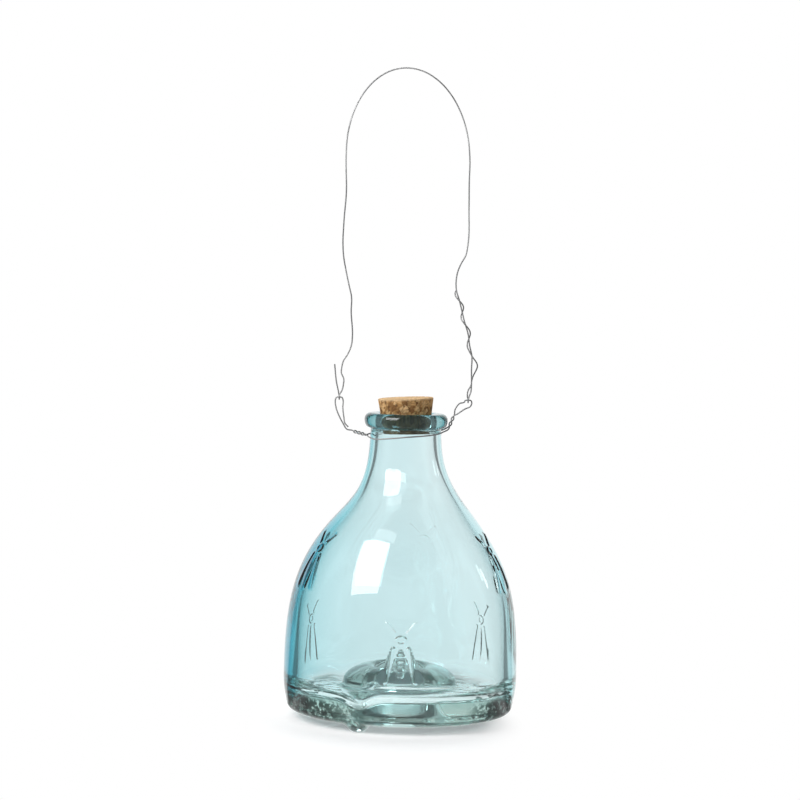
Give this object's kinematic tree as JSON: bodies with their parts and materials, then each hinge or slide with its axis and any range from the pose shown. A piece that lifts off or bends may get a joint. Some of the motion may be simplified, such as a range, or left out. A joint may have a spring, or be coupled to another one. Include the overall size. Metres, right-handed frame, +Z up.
{
  "type": "glass fly trap",
  "caption": "Hanging glass fly trap: footed blown bottle with an entry funnel in its base, embossed insects, a cork in the mouth, a wire collar with ears and a swinging wire bail.",
  "frame": {"origin": "on the surface that the feet stand on, under the middle of the bottle", "axes": "+Z up along the bottle's axis, +X towards the ear with the wound wire end, -Y towards the front"},
  "size_m": [0.13, 0.1308, 0.3614],
  "materials": {
    "glass": "clear, pale aqua, smooth with mould waves",
    "cork": "pressed cork granules, matt",
    "wire": "dull galvanised steel wire"
  },
  "bodies": {
    "bottle": {"glass_bottle": "glass"},
    "cork": {"cork_stopper": "cork"},
    "collar": {"neck_wire": "wire"},
    "bail": {"hanging_wire": "wire"}
  },
  "joints": [
    {"name": "cork_pull", "type": "slide", "parent": "bottle", "child": "cork", "axis": [0, 0, 1], "range_m": [0, 0.05]},
    {"name": "collar_turn", "type": "hinge", "parent": "bottle", "child": "collar", "pos_m": [0, 0, 0.157], "axis": [0, 0, 1], "continuous": true},
    {"name": "bail_swing", "type": "hinge", "parent": "collar", "child": "bail", "pos_m": [0, 0, 0.178], "axis": [1, 0, 0], "range_deg": [-140, 140]}
  ]
}
